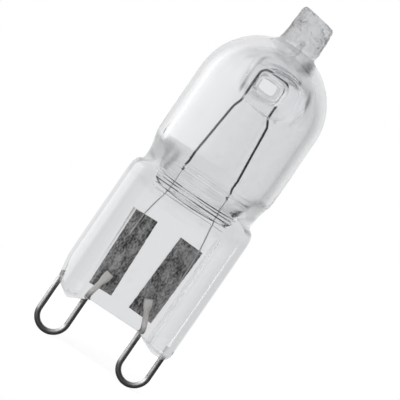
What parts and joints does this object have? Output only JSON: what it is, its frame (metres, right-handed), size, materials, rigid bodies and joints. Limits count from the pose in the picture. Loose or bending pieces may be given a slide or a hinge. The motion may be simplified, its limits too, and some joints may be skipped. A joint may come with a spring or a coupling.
{
  "type": "halogen capsule lamp",
  "caption": "Clear glass capsule lamp with a pressed flat seal, wire contact loops, sealed foils and a coiled filament hung over a glass bridge.",
  "frame": {"origin": "midway between the two contact loops, in the plane of the seal's feet", "axes": "+Z from the contact loops to the exhaust tip; +X across the two loops; +Y through the thin seal"},
  "size_m": [0.013, 0.0126, 0.0382],
  "materials": {
    "clear_glass": "clear, fire polished",
    "contact_wire": "bright drawn wire",
    "sealing_foil": "crinkled, dark grey",
    "lead_wire": "drawn wire",
    "filament_coil": "dark grey coiled wire"
  },
  "bodies": {
    "root": {"glass_envelope": "clear_glass", "contact_loop_left": "contact_wire", "contact_loop_right": "contact_wire", "foil_left": "sealing_foil", "foil_right": "sealing_foil", "inner_lead_left": "lead_wire", "inner_lead_right": "lead_wire", "filament": "filament_coil"}
  },
  "joints": []
}
